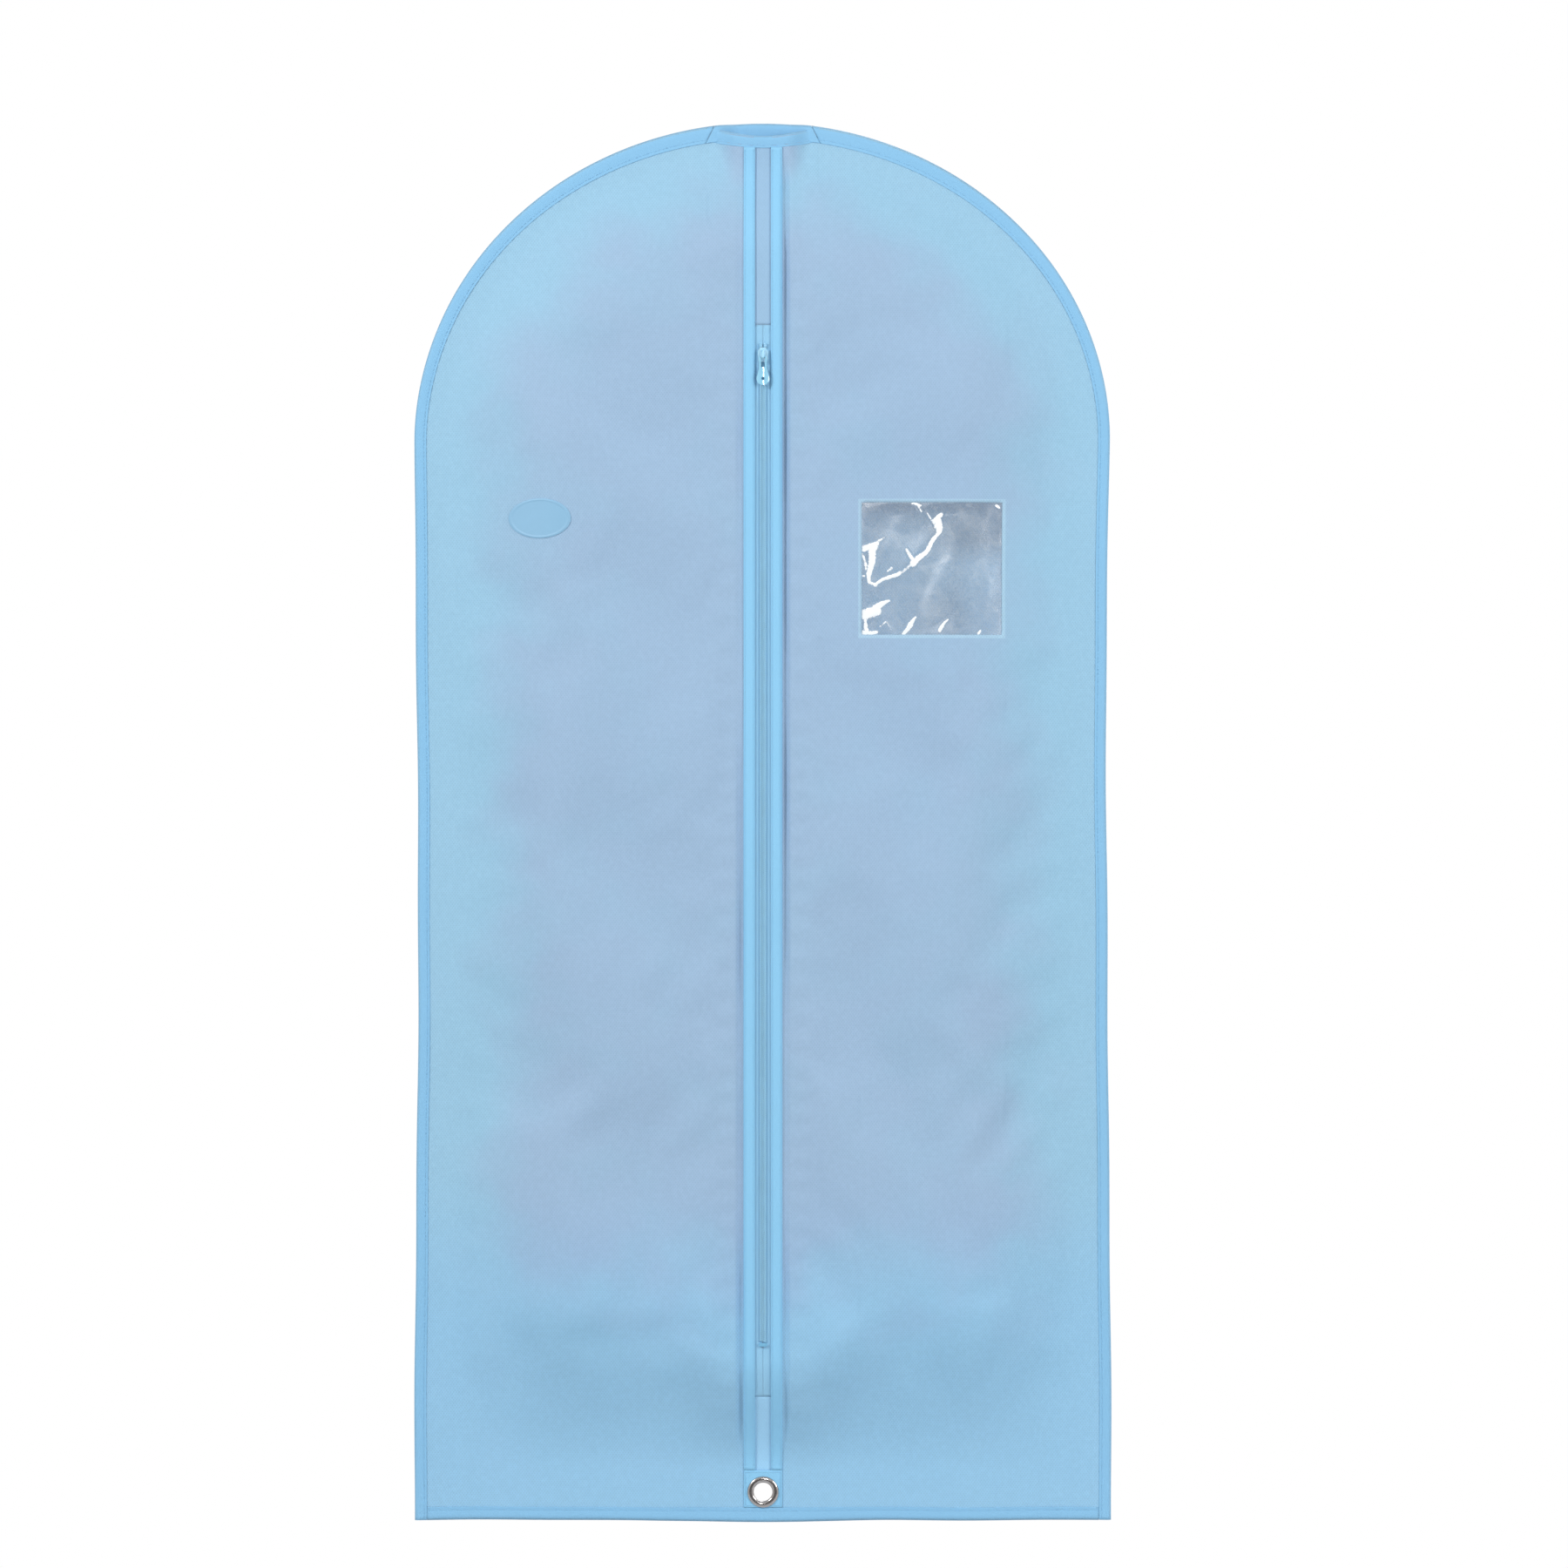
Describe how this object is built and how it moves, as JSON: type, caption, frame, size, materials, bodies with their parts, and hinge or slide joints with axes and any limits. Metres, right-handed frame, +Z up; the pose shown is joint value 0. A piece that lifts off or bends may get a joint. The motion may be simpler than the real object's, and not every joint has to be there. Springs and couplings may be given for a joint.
{
  "type": "garment bag",
  "caption": "Hanging zipped garment bag in light fabric, with bound edges, an arched crown open for a hanger, a clear window and a hem eyelet.",
  "frame": {"origin": "middle of the hanger opening, at the top of the crown, in the plane where the front and back panels meet at the rim", "axes": "+Z up along the bag's length, towards the hanger; the front with the zip faces -Y; +X is to the right seen from the front, on the window's side"},
  "size_m": [0.598, 0.068, 1.2],
  "materials": {
    "fabric_panel": "light blue nonwoven",
    "fabric_binding": "light blue nonwoven tape",
    "zip_tape": "woven tape",
    "zip_coil": "blue nylon coil",
    "zip_stop": "crimped, painted blue",
    "slider_paint": "gloss light blue",
    "clear_film": "clear film",
    "label": "moulded, blank",
    "eyelet_metal": "nickel plated"
  },
  "bodies": {
    "bag": {"back_panel": "fabric_panel", "front_panel_left": "fabric_panel", "front_panel_right": "fabric_panel", "side_binding_left": "fabric_binding", "side_binding_right": "fabric_binding", "hem_binding": "fabric_binding", "neck_binding_front": "fabric_binding", "neck_binding_back": "fabric_binding", "placket_facing_left": "fabric_binding", "placket_facing_right": "fabric_binding", "placket_insert_upper": "fabric_panel", "placket_insert_lower": "fabric_panel", "eyelet_patch": "fabric_binding", "zip_tape_left": "zip_tape", "zip_tape_right": "zip_tape", "zip_coil_left": "zip_coil", "zip_coil_right": "zip_coil", "zip_top_stops": "zip_stop", "zip_bottom_stop": "zip_stop", "window_film": "clear_film", "blank_label": "label", "eyelet_barrel": "eyelet_metal", "eyelet_washer": "eyelet_metal"},
    "slider": {"slider_body": "slider_paint", "slider_crown": "slider_paint"},
    "pull": {"pull_tab": "slider_paint"}
  },
  "joints": [
    {"name": "zip_slide", "type": "slide", "parent": "bag", "child": "slider", "axis": [0, 0, -1], "range_m": [0, 0.837]},
    {"name": "pull_swing", "type": "hinge", "parent": "slider", "child": "pull", "pos_m": [0, -0.04005, -0.2036], "axis": [-1, 0, 0], "range_deg": [0, 170]}
  ]
}
